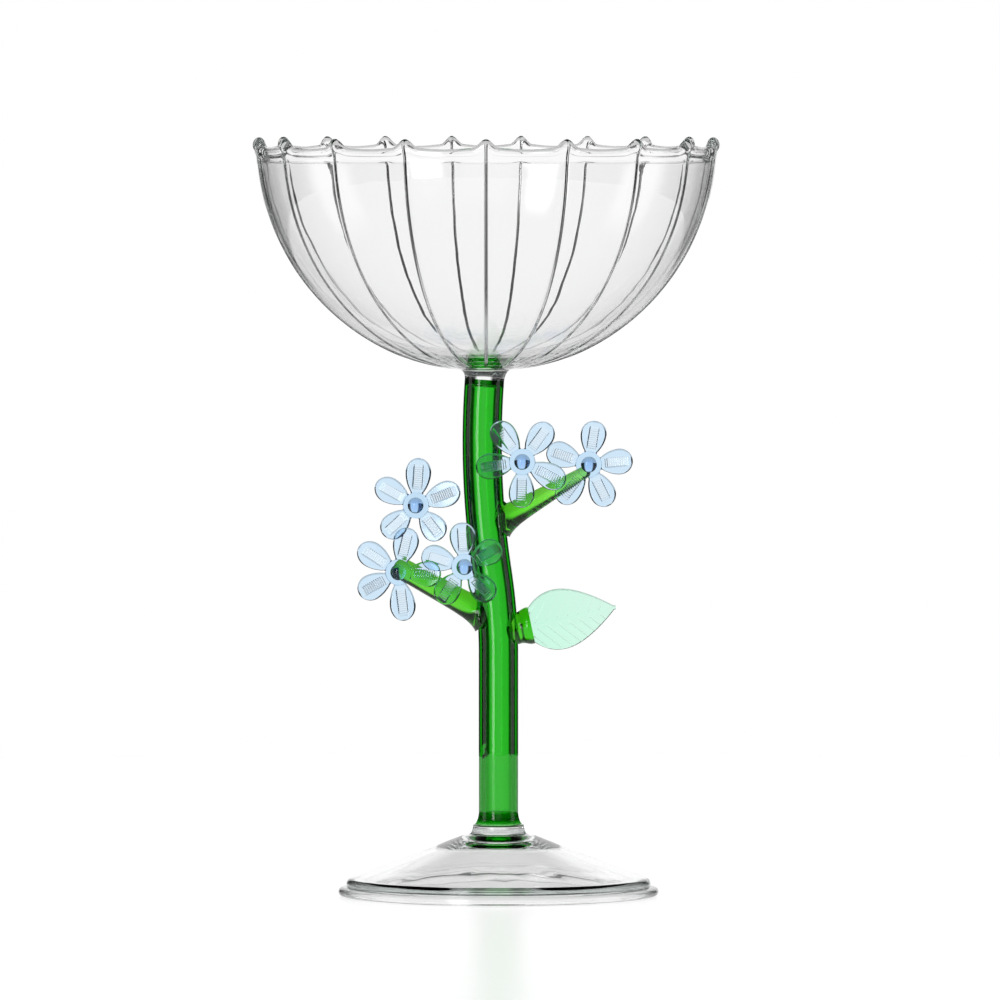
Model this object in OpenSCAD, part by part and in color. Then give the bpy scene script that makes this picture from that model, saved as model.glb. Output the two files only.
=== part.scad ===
// Footed coupe glass, lampworked: a ribbed clear bowl, a bent green tube as its stem, a clear cone foot,
// two green branches that carry five pale blue flowers, and a pressed leaf on a green knob.
// Origin: centre of the foot's underside. +Z up, +X to the right, the flowers face -Y. Millimetres.

/* [Foot] */
// Radius of the foot at its brim
foot_r = 38.5; // [33:0.1:47]
// Slope of the foot's cone, in degrees
foot_slope = 21; // [15:0.1:25]
// Height at which the cone's line would reach the brim's radius
foot_edge_h = 3.1; // [3:0.1:5]
// Width of the rounded brim that runs out beyond the cone's shoulder
foot_brim_w = 1.9; // [1.5:0.1:3]
// Wall of the cone
foot_wall = 1.6; // [1.2:0.1:2]
// Rounding of the cone's shoulder
foot_corner_r = 1.5; // [0.8:0.1:2]
// Rounding of the brim
foot_lip_r = 1; // [0.6:0.1:1.1]
// Width of the flat ring that stands on the table
foot_rest_w = 1; // [0.5:0.1:2]
// Radius of the hollow's domed roof
foot_dome_r = 45; // [30:1:75]
// Radius of the flat neck at the top of the cone
neck_r = 8.3; // [7.8:0.1:10]
// Height of the clear collar on the neck
foot_collar_h = 2; // [1:0.1:3]

/* [Stem] */
// Radius of the green tube
stem_r = 4.75; // [3.9:0.05:5.8]
// Wall of the green tube
stem_wall = 1.6; // [1:0.1:2]
// Length of the stem, from the foot's collar to the bowl's collar
stem_h = 107.3; // [85:0.1:140]
// Flare of the stem's lower end beyond the tube
stem_flare = 1.45; // [0.8:0.05:2]
// Height of the flare
stem_flare_h = 3.6; // [1.5:0.1:5]
// Glass that closes the tube's lower end
stem_floor = 2.6; // [1:0.1:4]
// Glass that closes the tube's upper end
stem_roof = 0.9; // [0.6:0.1:3]
// Lean of the middle of the stem, in degrees
stem_lean = 8.25; // [4:0.25:10]
// Tilt back at the top, in degrees
stem_tilt = 4.2; // [0:0.1:6]
// Radius of the lower bend
low_bend_r = 128; // [80:1:160]
// Straight length between the bends
mid_straight = 3.1; // [1:0.1:10]
// Radius of the upper bend
high_bend_r = 206; // [120:1:240]

/* [Bowl] */
// Outer radius of the bowl
bowl_r = 55.3; // [46:0.1:67]
// Depth of the half ellipsoid that the bowl follows
bowl_depth = 55; // [45:0.1:66]
// Height of the rim's valleys above the bowl's base
bowl_h = 53.2; // [42:0.1:54]
// Wall of the bowl
bowl_wall = 1.3; // [0.9:0.1:1.8]
// Glass at the middle of the bowl's floor
bowl_floor = 2.2; // [1.6:0.1:3.5]
// Sideways step from the stem's top to the bowl's axis
bowl_shift = 0.4; // [-1:0.1:1]
// Height of the clear collar under the bowl
bowl_collar_h = 2.4; // [1.8:0.1:4]
// Flare of that collar beyond the stem
bowl_collar_flare = 1.75; // [1:0.05:2.5]
// Width of the thickened lip at the rim
lip_w = 2.1; // [1.8:0.1:2.6]
// Number of ribs and rim waves
ribs = 19; // [12:1:22]
// Height of a rib on the outside of the wall
rib_h = 0.45; // [0.2:0.05:0.8]
// Width of a rib, in degrees round the bowl
rib_w = 1.5; // [1:0.1:2]
// Hand-tooled drift of the ribs towards the back, in degrees
rib_drift = 4; // [0:0.5:5]
// Rise of the rim's crests above its valleys
crest_h = 2; // [0:0.1:4]
// Outward curl of the crests
crest_flare = 0.8; // [0:0.1:3]
// How much thicker the lip is at its crests, measured from its middle
crest_swell = 0.45; // [0:0.05:0.6]

/* [Branches] */
// Distance of each branch's root below the stem's top: upper, lower
branch_drop = [36, 58.2]; // [30:0.1:70]
// Rise of each branch, in degrees
branch_rise = [30.3, 29.2]; // [20:0.1:45]
// Turn of each branch towards the front, in degrees
branch_front = [3, 1]; // [0:0.5:8]
// Length of each branch, from the stem's centre line
branch_l = [27.1, 25.7]; // [18:0.1:34]
// Radius of each branch at its root
branch_root_r = [3.3, 3.15]; // [2.6:0.05:4]
// Radius of each branch at its tip
branch_tip_r = [1.5, 2.6]; // [1.2:0.05:2.6]

/* [Leaf] */
// Distance of the knob below the stem's top
knob_drop = 60.7; // [50:0.1:75]
// Radius of the knob's ends
knob_r = 4.5; // [3.5:0.1:5.5]
// Radius of the knob's waist
knob_waist_r = 3.8; // [3:0.1:3.9]
// Distance from the stem's centre line to the knob's outer face
knob_reach = 8.2; // [7:0.1:10]
// Rise of the leaf's midrib, in degrees
leaf_rise = 11.9; // [0:0.1:30]
// Length of the leaf
leaf_l = 20.7; // [15:0.1:28]
// Half of the leaf's width
leaf_half_w = 7.3; // [5:0.1:9]
// Thickness of the leaf
leaf_t = 1.2; // [0.8:0.1:2]
// Curl of the leaf's tip towards the back
leaf_curl = 1.5; // [0:0.1:3]

/* [Flowers] */
// Radius of the disc that joins the petals
disc_r = 3.1; // [2.6:0.05:3.7]
// Thickness of the disc
disc_t = 1.5; // [1.3:0.1:2]
// Radius of the bead at the flower's eye
bead_r = 2; // [1.6:0.1:2.5]
// Thickness of a petal
petal_t = 1.2; // [0.8:0.1:1.25]
// Half of a petal's width at its widest
petal_half_w = 3.1; // [2.4:0.1:3.6]
// Half of a petal's width where it leaves the disc
petal_waist = 1.5; // [1.1:0.05:1.55]
// Forward curl of a petal's tip
petal_curl = 0.7; // [0:0.1:1.2]
// Gap left between glass that only lies close
gap = 0.05; // [0.02:0.01:0.2]

/* [Flower A] */
// Place of flower A to the right of flower B and above it
a_place = [4.2, 16]; // [2:0.1:18]
// How far flower A stands behind flower B
a_behind = 0.65; // [0.5:0.1:3]
// Turn to the right and nod downwards, in degrees
a_face = [-8, -3]; // [-15:0.5:15]
// Directions of the petals, in degrees
a_spin = [86, 21, -51, -137, 151]; // [-180:0.1:200]
// Lengths of the petals from the flower's centre
a_len = [11.4, 11.4, 10.2, 10.6, 11]; // [8:0.1:13]

/* [Flower B] */
// Place of flower B from the lower branch's tip
b_place = [-1.3, -0.5]; // [-3:0.1:3]
// Turn to the right and nod downwards, in degrees
b_face = [-4, 0]; // [-15:0.5:15]
// Directions of the petals, in degrees
b_spin = [76, -3, -82.6, -151, 147]; // [-180:0.1:200]
// Lengths of the petals from the flower's centre
b_len = [11, 10.3, 11.7, 10.8, 11.3]; // [8:0.1:13]

/* [Flower C] */
// Place of flower C to the side of the stem, and its drop below the stem's top
c_place = [-6.45, 44.8]; // [-10:0.1:60]
// Turn to the right and nod downwards, in degrees
c_face = [2, 0]; // [-15:0.5:15]
// Directions of the petals, in degrees
c_spin = [93.5, 30.8, -49.8, -125.7, 162.7]; // [-180:0.1:200]
// Lengths of the petals from the flower's centre
c_len = [10.7, 10.2, 10.3, 10.4, 10.7]; // [8:0.1:13]

/* [Flower D] */
// Place of flower D to the side of the stem, and its drop below the stem's top
d_place = [9.55, 19.6]; // [5:0.1:30]
// Turn to the right and nod downwards, in degrees
d_face = [-2.5, 0]; // [-15:0.5:15]
// Directions of the petals, in degrees
d_spin = [124.9, 54, -27, -91.2, 188]; // [-180:0.1:200]
// Lengths of the petals from the flower's centre
d_len = [11.4, 11.3, 11.5, 11, 11.2]; // [8:0.1:13]

/* [Flower E] */
// Place of flower E from the upper branch's tip
e_place = [1.1, 2]; // [-3:0.1:3]
// Turn to the right and nod downwards, in degrees
e_face = [3, 0]; // [-15:0.5:15]
// Directions of the petals, in degrees
e_spin = [80.9, 5.6, -63.8, -127.6, 160.3]; // [-180:0.1:200]
// Lengths of the petals from the flower's centre
e_len = [10.6, 10.6, 11, 11.5, 10.7]; // [8:0.1:13]

/* [Hidden] */
$fn = 48;
LETTERS = ["a", "b", "c", "d", "e"];
FLOWERS = [0, 1, 2, 3, 4];
PETALS = [0, 1, 2, 3, 4];
function disc_name(f) = str("flower_", LETTERS[f], "_disc");
function bead_name(f) = str("flower_", LETTERS[f], "_bead");
function petal_name(f, k) = str("flower_", LETTERS[f], "_petal_", k + 1);

// Colours of the glass
CLEAR = [0.90, 0.94, 0.95, 0.45];
GREEN = [0.10, 0.60, 0.15, 0.85];
MINT = [0.75, 0.98, 0.86, 0.75];
PALE_BLUE = [0.78, 0.90, 1.00, 0.70];
BEAD_BLUE = [0.40, 0.68, 0.98, 0.90];

// Foot: the cone's outer and inner lines, each as a height over the table at radius r
ARC_STEPS = 8;
cone_tan = tan(foot_slope);
function cone_z(r) = foot_edge_h + (foot_r - r) * cone_tan;
function hollow_z(r) = cone_z(r) - foot_wall / cos(foot_slope);
shoulder_r = foot_r - foot_brim_w;
corner_z = cone_z(shoulder_r - foot_corner_r) - foot_corner_r / cos(foot_slope);
rest_in_r = foot_r - foot_lip_r - foot_rest_w;
dome_centre_z = hollow_z(0) - foot_dome_r / cos(foot_slope);
foot_top_z = cone_z(neck_r);
neck_step = 0.9;

// Stem: a lower straight, a bend to the left, a short straight, and a bend back that ends at the top
stem_base_z = foot_top_z + foot_collar_h;
stem_top_z = stem_base_z + stem_h;
stem_bore_r = stem_r - stem_wall;
bore_round = 0.6;
low_bend_h = low_bend_r * sin(stem_lean);
mid_h = mid_straight * cos(stem_lean);
high_bend_h = high_bend_r * (sin(stem_lean) + sin(stem_tilt));
high_z = stem_top_z - high_bend_h;
mid_z = high_z - mid_h;
low_z = mid_z - low_bend_h;
mid_x = -low_bend_r * (1 - cos(stem_lean));
high_x = mid_x - mid_straight * sin(stem_lean);

// Lean of the stem's centre line to the right at a height, in degrees, and its X there
function stem_turn(z) =
    z < low_z ? 0 :
    z < mid_z ? -asin((z - low_z) / low_bend_r) :
    z < high_z ? -stem_lean :
    -asin(sin(stem_lean) - (min(z, stem_top_z) - high_z) / high_bend_r);
function stem_x(z) =
    z < low_z ? 0 :
    z < mid_z ? -low_bend_r * (1 - cos(stem_turn(z))) :
    z < high_z ? mid_x - (z - mid_z) * tan(stem_lean) :
    high_x - high_bend_r * (cos(stem_turn(z)) - cos(stem_lean));
stem_top_x = stem_x(stem_top_z);

// Bowl: half of an ellipsoid, cut flat where its collar meets it
bowl_x = stem_top_x + bowl_shift;
bowl_base_z = stem_top_z + bowl_collar_h;
pad_r = stem_r + bowl_collar_flare + 0.4;
pad_turn = asin(pad_r / bowl_r);
bowl_centre_z = bowl_base_z + bowl_depth * cos(pad_turn);
rim_turn = acos((bowl_centre_z - bowl_base_z - bowl_h) / bowl_depth);

// Places its children at the stem's upper end, turned with the tube
module at_stem_top() {
    translate([stem_top_x, 0, stem_top_z]) rotate([0, stem_tilt, 0]) children();
}

// Concave quarter flare from radius r0 at height 0, where it spreads level, to radius r1 at height h
function flare(r0, r1, h) =
    [for (i = [0 : ARC_STEPS]) let (a = 90 * i / ARC_STEPS)
        [r0 + (r1 - r0) * sin(a), h * (1 - cos(a))]];

// Faces of a closed net of `rows` rings of `n` points: two triangles between neighbours, and at each end a cap
// of strips that run across the ring
function cap(n) = concat(
    [[0, 1, n - 1], [n / 2 - 1, n / 2, n / 2 + 1]],
    [for (i = [1 : n / 2 - 2]) [i, i + 1, n - i - 1]],
    [for (i = [1 : n / 2 - 2]) [i, n - i - 1, n - i]]
);
function net_faces(rows, n) = concat(
    cap(n),
    [for (i = [0 : rows - 2]) for (j = [0 : n - 1]) let (k = (j + 1) % n)
        [i * n + j, (i + 1) * n + j, (i + 1) * n + k]],
    [for (i = [0 : rows - 2]) for (j = [0 : n - 1]) let (k = (j + 1) % n)
        [i * n + j, (i + 1) * n + k, i * n + k]],
    [for (f = cap(n)) [for (v = [2, 1, 0]) (rows - 1) * n + f[v]]]
);

// Rings of the tube's outer wall and of its bore, each as [height, radius]
STEM_SIDES = 32;
BEND_STEPS = 7;
path_heights = concat(
    [for (i = [0 : BEND_STEPS]) low_z + low_bend_h * i / BEND_STEPS],
    [for (i = [0 : 2 * BEND_STEPS]) high_z + high_bend_h * i / BEND_STEPS / 2]
);
outer_rings = concat(
    [for (p = flare(stem_r + stem_flare, stem_r, stem_flare_h)) [stem_base_z + p[1], p[0]]],
    [for (z = path_heights) [z, stem_r]]
);
bore_bottom_z = stem_base_z + stem_floor;
bore_top_z = stem_top_z - stem_roof;
bore_rings = concat(
    [[bore_bottom_z, stem_bore_r - bore_round], [bore_bottom_z + bore_round, stem_bore_r]],
    [for (z = path_heights) if (z < bore_top_z - bore_round) [z, stem_bore_r]],
    [[bore_top_z - bore_round, stem_bore_r], [bore_top_z, stem_bore_r - bore_round]]
);

// Solid swept through rings along the stem's centre line
module along_stem(rings) {
    points = [for (ring = rings) for (j = [0 : STEM_SIDES - 1])
        let (a = 360 * j / STEM_SIDES, t = stem_turn(ring[0]), u = ring[1] * cos(a))
        [stem_x(ring[0]) + u * cos(t), ring[1] * sin(a), ring[0] - u * sin(t)]];
    polyhedron(points, net_faces(len(rings), STEM_SIDES));
}

// The stem's outer solid near a height: what the branches and the knob are cut back to
module stem_near(z) {
    below = [for (ring = outer_rings) if (ring[0] < z - 3 * stem_r) ring[0]];
    above = [for (ring = outer_rings) if (ring[0] > z + 3 * stem_r) ring[0]];
    low = len(below) > 0 ? max(below) : stem_base_z;
    high = len(above) > 0 ? min(above) : stem_top_z;
    along_stem([for (ring = outer_rings) if (ring[0] >= low && ring[0] <= high) ring]);
}

module foot() {
    arc_corner = [for (i = [0 : ARC_STEPS]) let (a = (90 - foot_slope) * (1 - i / ARC_STEPS))
        [shoulder_r - foot_corner_r + foot_corner_r * cos(a), corner_z + foot_corner_r * sin(a)]];
    arc_lip = [for (i = [0 : ARC_STEPS]) let (a = 90 - 180 * i / ARC_STEPS)
        [foot_r - foot_lip_r + foot_lip_r * cos(a), foot_lip_r + foot_lip_r * sin(a)]];
    arc_inside = [for (i = [0 : 4]) let (a = 90 * i / 4)
        [rest_in_r - foot_lip_r / 2 * sin(a), foot_lip_r / 2 * (1 - cos(a))]];
    inside_r = rest_in_r - foot_lip_r / 2;
    fillet = 1;
    dome = [for (i = [1 : ARC_STEPS]) let (a = foot_slope * (1 - i / ARC_STEPS))
        [foot_dome_r * sin(a), dome_centre_z + foot_dome_r * cos(a)]];
    color(CLEAR) rotate_extrude()
        polygon(concat(
            [[0, foot_top_z], [neck_r, foot_top_z]],
            arc_corner, arc_lip, arc_inside,
            [[inside_r, hollow_z(inside_r) - fillet], [inside_r - fillet, hollow_z(inside_r - fillet)]],
            dome
        ));
}

module foot_collar() {
    color(CLEAR) translate([0, 0, foot_top_z]) rotate_extrude()
        polygon(concat(
            [[0, 0]],
            flare(neck_r - neck_step, stem_r + stem_flare, foot_collar_h),
            [[0, foot_collar_h]]
        ));
}

module stem_tube() {
    color(GREEN) difference() {
        along_stem(outer_rings);
        along_stem(bore_rings);
    }
}

module bowl_collar() {
    // It runs a little past the bowl's base, tilted with the stem, and is cut off level there.
    reach = bowl_collar_h + 1;
    top_r = stem_r + bowl_collar_flare;
    color(CLEAR) difference() {
        at_stem_top() rotate_extrude() polygon(concat(
            [[0, 0]],
            [for (i = [0 : ARC_STEPS]) let (a = 90 * i / ARC_STEPS)
                [stem_r + bowl_collar_flare * (1 - cos(a)), bowl_collar_h * sin(a)]],
            [[top_r, reach], [0, reach]]
        ));
        translate([stem_top_x - bowl_r, -bowl_r, bowl_base_z]) cube([2 * bowl_r, 2 * bowl_r, 2 * reach]);
    }
}

// Bowl: the columns of its net, as parts of the spacing between ribs, and the rows, from the pad under it up
// the outside, over the lip and down the inside. A row is [turn up the ellipsoid, offset outwards from the
// middle of the wall, share of the ribs' height, way in which the lip swells at a crest].
rib_gap = 360 / ribs;
rib_edge = rib_w / 2 / rib_gap;
crest_half = 0.17;
COLUMNS = [0, rib_edge, crest_half, 0.5, 1 - crest_half, 1 - rib_edge];
column_list = [for (k = [0 : ribs - 1]) for (u = COLUMNS) [k, u]];
LIP_STEPS = [-40, 20, 90, 160, 220];
NO_SWELL = [0, 0];
INNER_ROWS = 8;
OUTER_ROWS = 9;
lip_turn = asin(lip_w / 2 / bowl_r);
lip_centre = rim_turn - lip_turn;
wall_top = lip_centre - 1.4 * lip_turn;
function floor_growth(turn) = (bowl_floor - bowl_wall) * pow(max(0, 1 - turn / 40), 2);
bowl_rows = concat(
    [for (i = [0 : OUTER_ROWS]) let (t = i / OUTER_ROWS)
        [pad_turn + (wall_top - pad_turn) * t, bowl_wall / 2, min(1, 4 * t), NO_SWELL]],
    [for (a = LIP_STEPS) let (share = a == LIP_STEPS[0] ? 1 : 0.3)
        [lip_centre + lip_turn * sin(a), lip_w / 2 * cos(a), share, [cos(a), sin(a)]]],
    [for (i = [INNER_ROWS : -1 : 0]) let (turn = pad_turn + (wall_top - pad_turn) * i / INNER_ROWS)
        [turn, -bowl_wall / 2 - floor_growth(turn), 0, NO_SWELL]]
);

// The crests rise and curl outwards over the last few degrees below the rim
CURL_TURN = 7;
SAG = 0.2;
function bump(d) = d < crest_half ? pow(cos(90 * d / crest_half), 2) : 0;
function crest(u) = SAG * (1 + cos(360 * u)) / 2 + (1 - SAG) * bump(min(u, 1 - u));
function curl(turn) = pow(max(0, min(1, (turn - rim_turn + CURL_TURN) / CURL_TURN)), 2);
function rib_turn(phi) = phi + rib_drift * sin(phi);
function bowl_point(row, column) =
    let (
        theta = rib_turn((column[0] + column[1]) * rib_gap),
        lift = crest(column[1]) * curl(row[0]),
        out = row[1] - bowl_wall / 2 + (column[1] == 0 ? rib_h * row[2] : 0),
        swell = crest_swell * lift * row[3],
        r = (bowl_r + out) * sin(row[0]) + crest_flare * lift + swell[0],
        z = bowl_centre_z - (bowl_depth + out) * cos(row[0]) + crest_h * lift + swell[1]
    )
    [bowl_x + r * sin(theta), -r * cos(theta), z];

// Branches: where each leaves the stem's centre line, and where it ends
UPPER = 0;
LOWER = 1;
branch_side = [1, -1];
branch_root_z = [for (b = [UPPER, LOWER]) stem_top_z - branch_drop[b]];
function branch_root(b) = [stem_x(branch_root_z[b]), 0, branch_root_z[b]];
function branch_tip(b) = branch_root(b) + branch_l[b] * [
    branch_side[b] * cos(branch_rise[b]) * cos(branch_front[b]),
    -cos(branch_rise[b]) * sin(branch_front[b]),
    sin(branch_rise[b])
];

// Flowers: how deep a branch's tip is pressed against a disc, and each flower's centre
tip_press = 0.4;
front_of_stem = -stem_r - gap - petal_t / 2;
function on_tip(b, place) = branch_tip(b)
    + [place[0], tip_press - branch_tip_r[b] - disc_t / 2, place[1]];
function on_stem(place) = let (z = stem_top_z - place[1]) [stem_x(z) + place[0], front_of_stem, z];
b_centre = on_tip(LOWER, b_place);
CENTRES = [
    b_centre + [a_place[0], a_behind, a_place[1]],
    b_centre,
    on_stem(c_place),
    on_stem(d_place),
    on_tip(UPPER, e_place)
];
FACES = [a_face, b_face, c_face, d_face, e_face];
SPINS = [a_spin, b_spin, c_spin, d_spin, e_spin];
LENGTHS = [a_len, b_len, c_len, d_len, e_len];

// Places its children on flower f: +Z towards the viewer, +X to the right, +Y up
module at_flower(f) {
    translate(CENTRES[f]) rotate([90 + FACES[f][1], 0, FACES[f][0]]) children();
}

// A tapered rod with a round tip, cut back to the stem and to the flower on its tip
module branch(b, f) {
    turn_up = 90 - branch_rise[b];
    color(GREEN) difference() {
        translate(branch_root(b)) rotate([0, 0, -branch_side[b] * branch_front[b]])
            rotate([0, branch_side[b] * turn_up, 0]) {
                cylinder(r1 = branch_root_r[b], r2 = branch_tip_r[b], h = branch_l[b]);
                translate([0, 0, branch_l[b]]) sphere(r = branch_tip_r[b]);
            }
        stem_near(branch_root_z[b]);
        at_flower(f) translate([0, 0, -disc_t / 2]) cylinder(r = 4 * disc_r, h = 2 * stem_r);
    }
}

module branch_upper() {
    branch(UPPER, 4);
}

module branch_lower() {
    branch(LOWER, 1);
}

// Knob: a waisted button of green glass on the stem's right side, and the leaf on its outer face
knob_z = stem_top_z - knob_drop;
module at_knob() {
    translate([stem_x(knob_z), 0, knob_z]) rotate([0, -leaf_rise, 0]) children();
}

module leaf_knob() {
    // The waist is a shallow cosine between the stem and the outer face, whose edge is chamfered.
    start = stem_r / 2;
    round = 0.5;
    length = knob_reach - round - start;
    waist = [for (i = [0 : 2 * ARC_STEPS]) let (t = i / ARC_STEPS / 2)
        [knob_r - (knob_r - knob_waist_r) * (1 - cos(360 * t)) / 2, start + length * t]];
    color(GREEN) difference() {
        at_knob() rotate([0, 90, 0]) rotate_extrude()
            polygon(concat([[0, start]], waist, [[knob_r - round, knob_reach], [0, knob_reach]]));
        stem_near(knob_z);
    }
}

// Leaf: half of its width at a share t of its length, a pointed oval cut off at the knob
LEAF_CUT = 0.12;
LEAF_STATIONS = [0, 0.1, 0.22, 0.36, 0.5, 0.64, 0.78, 0.9, 0.97, 1];
NIB = 0.5;
function leaf_width(t) = let (u = (t + LEAF_CUT) / (1 + LEAF_CUT))
    max(NIB, leaf_half_w * pow(sin(180 * pow(u, 0.75)), 0.9));

// Ring of a flat oval section, `w` by `t` in half sizes
SECTION = [for (a = [0 : 30 : 330]) [cos(a), sin(a)]];
function thin(c) = sign(c) * pow(abs(c), 0.7);

module leaf() {
    points = [for (t = LEAF_STATIONS) let (w = leaf_width(t), bend = leaf_curl * t * t) for (p = SECTION)
        [knob_reach + leaf_l * t, bend + leaf_t / 2 * p[1] * (1 - 0.4 * t), w * thin(p[0])]];
    color(MINT) at_knob() polyhedron(points, net_faces(len(LEAF_STATIONS), len(SECTION)));
}

// Petal: a paddle that leaves the disc at its waist, and ends in half an ellipse
WIDEST = 0.58;
PETAL_STATIONS = [0, 0.12, 0.3, 0.58, 0.78, 0.92, 0.99];
function petal_width(t) = t < WIDEST
    ? petal_waist + (petal_half_w - petal_waist) * pow(sin(90 * t / WIDEST), 0.8)
    : petal_half_w * sqrt(1 - pow((t - WIDEST) / (1 - WIDEST), 2));

module petal(f, k) {
    root_r = disc_r + gap / 2;
    reach = LENGTHS[f][k] - root_r;
    points = [for (t = PETAL_STATIONS) let (w = petal_width(t)) for (p = SECTION)
        let (y = w * thin(p[0]), root = sqrt(root_r * root_r - pow(petal_waist * thin(p[0]), 2)) - root_r)
        [
            root_r + reach * t + (t == 0 ? root : 0),
            y,
            petal_t / 2 * p[1] * (t > 0.9 ? 0.6 : 1) + petal_curl * t * t
        ]];
    color(PALE_BLUE) at_flower(f) rotate([0, 0, SPINS[f][k]])
        polyhedron(points, net_faces(len(PETAL_STATIONS), len(SECTION)));
}

module disc(f) {
    color(PALE_BLUE) at_flower(f) cylinder(r = disc_r, h = disc_t, center = true);
}

// Bead: a ball pressed into the front of the disc
module bead(f) {
    sink = 0.6;
    color(BEAD_BLUE) at_flower(f) difference() {
        translate([0, 0, disc_t / 2 - sink]) sphere(r = bead_r);
        cylinder(r = disc_r, h = disc_t, center = true);
        translate([0, 0, -2 * bead_r]) cylinder(r = disc_r, h = 2 * bead_r);
    }
}

module bowl() {
    points = [for (row = bowl_rows) for (column = column_list) bowl_point(row, column)];
    color(CLEAR) polyhedron(points, net_faces(len(bowl_rows), len(column_list)));
}

foot();
foot_collar();
stem_tube();
bowl_collar();
bowl();
branch_upper();
branch_lower();
leaf_knob();
leaf();
for (f = FLOWERS) {
    disc(f);
    bead(f);
    for (k = PETALS)
        petal(f, k);
}
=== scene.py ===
# %% [markdown]
# # A lampworked coupe with flowers
#
# This lesson gives a stemmed glass its real look around a fixed CAD frame. The glass has a ribbed clear
# bowl, a bent green tube as its stem, a clear cone foot, two green branches, five pale blue flowers and
# a leaf. Everything is in metres, +Z is up, and the flowers face -Y. Glass shows nothing but what its
# surfaces bend, so nearly all of the work is in the true shape of both faces of every wall.

# %% The frame
import bpy
import numpy as np
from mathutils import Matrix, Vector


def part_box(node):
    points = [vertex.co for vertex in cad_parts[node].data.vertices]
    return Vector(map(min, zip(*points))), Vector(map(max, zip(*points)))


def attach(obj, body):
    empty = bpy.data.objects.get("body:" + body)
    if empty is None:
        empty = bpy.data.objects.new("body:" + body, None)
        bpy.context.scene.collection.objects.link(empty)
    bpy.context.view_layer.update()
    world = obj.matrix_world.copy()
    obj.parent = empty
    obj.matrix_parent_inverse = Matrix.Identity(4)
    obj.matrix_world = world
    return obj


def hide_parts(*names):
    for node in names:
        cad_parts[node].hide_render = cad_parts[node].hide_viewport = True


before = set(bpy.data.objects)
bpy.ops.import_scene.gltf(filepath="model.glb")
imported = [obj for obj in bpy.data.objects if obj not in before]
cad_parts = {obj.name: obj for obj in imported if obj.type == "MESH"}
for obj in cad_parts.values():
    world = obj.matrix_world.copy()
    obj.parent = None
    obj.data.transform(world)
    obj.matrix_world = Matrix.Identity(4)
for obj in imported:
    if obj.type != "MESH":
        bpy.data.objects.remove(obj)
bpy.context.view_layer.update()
MM = 0.001

# %% [markdown]
# ## One skin for every piece of glass
#
# A blown or pulled piece of glass is a closed skin. It could be made with Blender's Spin or Skin tools,
# but here each skin is a grid of rings worked out with numpy: ring by ring along the piece, corner by
# corner round it. The rings run so that the glass lies to the left of the way round, which makes every
# face point outwards, and a fan of triangles closes each end.

# %% Rings to a closed skin
def skin(rings, inward=False, melted=()):
    """Points, faces and melted marks of a closed skin over rings[i, j]. Corner j of ring i joins corner j
    of ring i + 1, the last corner joins the first, and the mean of the first and of the last ring closes
    the ends. Gap k lies before ring k; the faces in the gaps listed in melted are fused to another piece."""
    rows, around = rings.shape[:2]
    ends = np.stack([rings[0].mean(0), rings[-1].mean(0)])
    points = np.vstack([rings.reshape(-1, 3), ends])
    row, here = np.meshgrid(np.arange(rows - 1), np.arange(around), indexing="ij")
    after = (here + 1) % around
    quads = np.stack([row * around + here, row * around + after,
                      (row + 1) * around + after, (row + 1) * around + here], -1).reshape(-1, 4)
    edge = np.arange(around)
    onward = (edge + 1) % around
    top = (rows - 1) * around
    start = np.stack([np.full(around, rows * around), onward, edge], -1)
    end = np.stack([np.full(around, rows * around + 1), top + edge, top + onward], -1)
    tris = np.vstack([start, end])
    if inward:
        quads, tris = quads[:, ::-1], tris[:, ::-1]
    marks = np.isin(np.arange(rows + 1), np.array(list(melted), int) % (rows + 1))
    marks = np.concatenate([marks[1:rows], marks[:1], marks[rows:]]).repeat(around)
    return points, quads, tris, marks


# %% [markdown]
# A piece can have more than one skin: a sealed tube has its outer wall and, turned inward, its bore.
# Each piece rides on the frame's one body and replaces its CAD node.

# %% Skins to a named piece
def make_piece(name, node, slot, *skins, sharp_angle=50):
    """A smooth mesh object of the given skins, which stands for one CAD node."""
    points, faces, marks, count = [], [], [], 0
    for skin_points, quads, tris, skin_marks in skins:
        points.append(skin_points)
        marks.append(skin_marks)
        faces += (quads + count).tolist() + (tris + count).tolist()
        count += len(skin_points)
    mesh = bpy.data.meshes.new(name)
    mesh.from_pydata(np.vstack(points).tolist(), [], faces)
    mesh.shade_smooth()
    mesh.set_sharp_from_angle(angle=np.radians(sharp_angle))
    melted = mesh.attributes.new("melted", "FLOAT", "FACE")
    melted.data.foreach_set("value", np.concatenate(marks).astype(np.float32))
    piece = bpy.data.objects.new(name, mesh)
    bpy.context.scene.collection.objects.link(piece)
    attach(piece, "root")
    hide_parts(node)
    print(f"{name}: {len(points)} skin(s), {count} points, {len(faces)} faces")
    return piece


# %% [markdown]
# ## Small tools for outlines
#
# Outlines are written as arcs and flares, never as long lists of points. A lathe turns an outline round
# an upright axis. Corners get a small radius, since fire-polished glass has no sharp edge and the
# radius is what draws the dark line round it.

# %% Arcs, flares and the lathe
AXIS_R = 0.05


def arc(centre, radius, start, end, steps=12):
    """Points of a circle round centre, from the start angle to the end angle in degrees."""
    a = np.radians(np.linspace(start, end, steps + 1))
    return np.stack([centre[0] + radius * np.cos(a), centre[1] + radius * np.sin(a)], -1)


def straight(a, b, steps=8):
    """Points of the straight line from a to b, both ends included."""
    t = np.linspace(0, 1, steps + 1)[:, None]
    return np.array(a) * (1 - t) + np.array(b) * t


def smooth(t):
    """0 below 0, 1 above 1, and in between 3 t^2 - 2 t^3."""
    t = np.clip(t, 0, 1)
    return t * t * (3 - 2 * t)


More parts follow.
